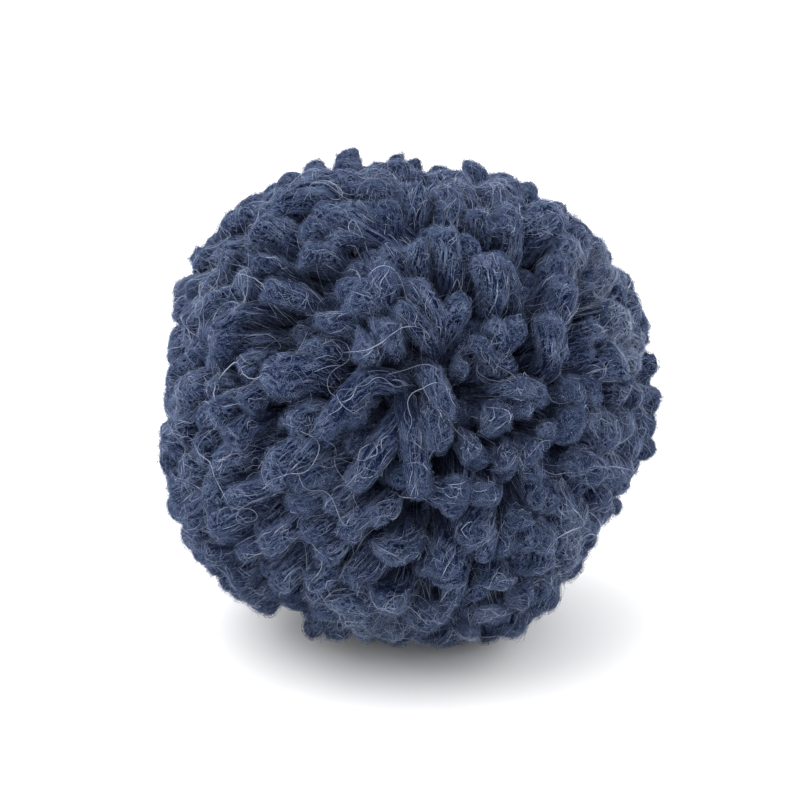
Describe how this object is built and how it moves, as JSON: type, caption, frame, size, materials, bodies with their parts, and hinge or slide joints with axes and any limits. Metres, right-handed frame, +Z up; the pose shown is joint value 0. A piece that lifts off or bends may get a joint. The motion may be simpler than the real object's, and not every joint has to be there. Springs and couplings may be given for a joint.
{
  "type": "yarn pom pom",
  "caption": "Trimmed ball of thick, loosely spun yarn ends that fan out from a bound middle, for sewing onto a hat, a cushion or a garland.",
  "frame": {"origin": "on the surface the ball rests on, below the centre of its box", "axes": "+Z up from the surface, the pictured face towards -Y and 20 degrees up, +X to that face's right"},
  "size_m": [0.0933, 0.0924, 0.0878],
  "materials": {
    "yarn": "matt, slightly hairy brushed yarn in a dark slate blue"
  },
  "bodies": {
    "root": {"pompom": "yarn"}
  },
  "joints": []
}
